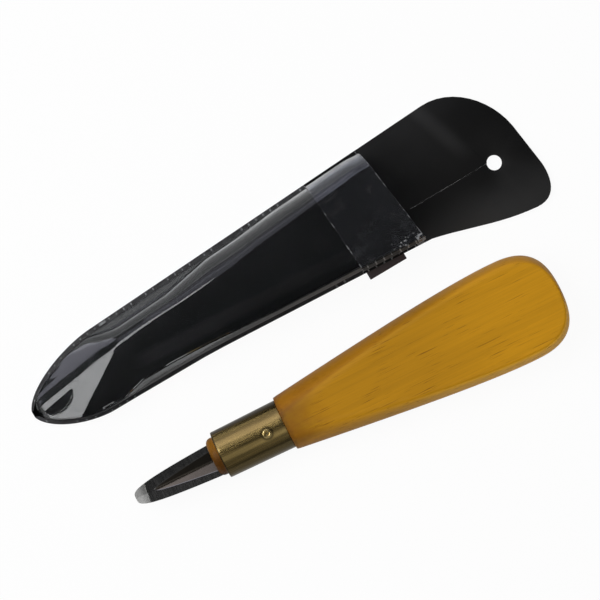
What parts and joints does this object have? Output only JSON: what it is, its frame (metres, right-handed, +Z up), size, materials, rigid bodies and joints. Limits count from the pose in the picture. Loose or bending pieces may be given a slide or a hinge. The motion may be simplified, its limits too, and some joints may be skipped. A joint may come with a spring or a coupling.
{
  "type": "cable knife with sheath",
  "caption": "Short hollow-ground cable knife with a pear-shaped wooden handle and brass ferrule, lying beside its vinyl sheath with a clear pocket and a hanging tab.",
  "frame": {"origin": "centre of the hanging hole, on the underside of the sheath's back sheet", "axes": "+X along the sheath from its tip towards its tab, +Z up, the way the clear pocket faces"},
  "size_m": [0.1986, 0.097, 0.0247],
  "materials": {
    "steel": "dark polished steel with a bright ground tip",
    "wood": "yellow-ochre varnish over straight-grained hardwood",
    "brass": "dull aged brass",
    "vinyl": "black satin vinyl sheet",
    "film": "clear glossy vinyl film",
    "strap": "black-olive vinyl strap"
  },
  "bodies": {
    "sheath": {"back_panel": "vinyl", "front_film": "film", "mouth_band": "film", "back_strap": "strap"},
    "knife": {"blade": "steel", "handle": "wood", "ferrule": "brass", "ferrule_pin": "brass"}
  },
  "joints": [
    {"name": "knife_lift", "type": "slide", "parent": "sheath", "child": "knife", "axis": [0, 0, 1], "range_m": [0, 0.12]}
  ]
}
